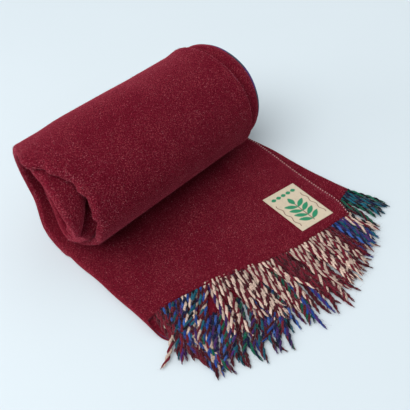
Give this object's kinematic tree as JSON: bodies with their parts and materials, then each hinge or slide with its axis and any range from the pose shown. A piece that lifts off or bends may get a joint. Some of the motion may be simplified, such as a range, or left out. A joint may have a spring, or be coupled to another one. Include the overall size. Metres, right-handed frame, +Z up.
{
  "type": "rolled travel rug",
  "caption": "Wool travel rug with a plain face and tartan reverse, folded lengthwise and rolled onto its own fringed tail, with a sewn label.",
  "frame": {"origin": "middle of the object's outline in plan, on the surface it rests on", "axes": "+X along the roll from its left end as seen from the fringe, +Y from the fringe towards the roll, +Z up"},
  "size_m": [0.4722, 0.4972, 0.2145],
  "materials": {
    "rug_cloth": "napped crimson wool",
    "fringe_first": "twisted wool yarn, cream and crimson",
    "fringe_second": "twisted wool yarn, crimson",
    "fringe_third": "twisted wool yarn, blue and purple",
    "fringe_fourth": "twisted wool yarn, teal and green",
    "rug_label": "woven label, cream"
  },
  "bodies": {
    "root": {"rug_cloth": "rug_cloth", "fringe_first": "fringe_first", "fringe_second": "fringe_second", "fringe_third": "fringe_third", "fringe_fourth": "fringe_fourth", "rug_label": "rug_label"}
  },
  "joints": []
}
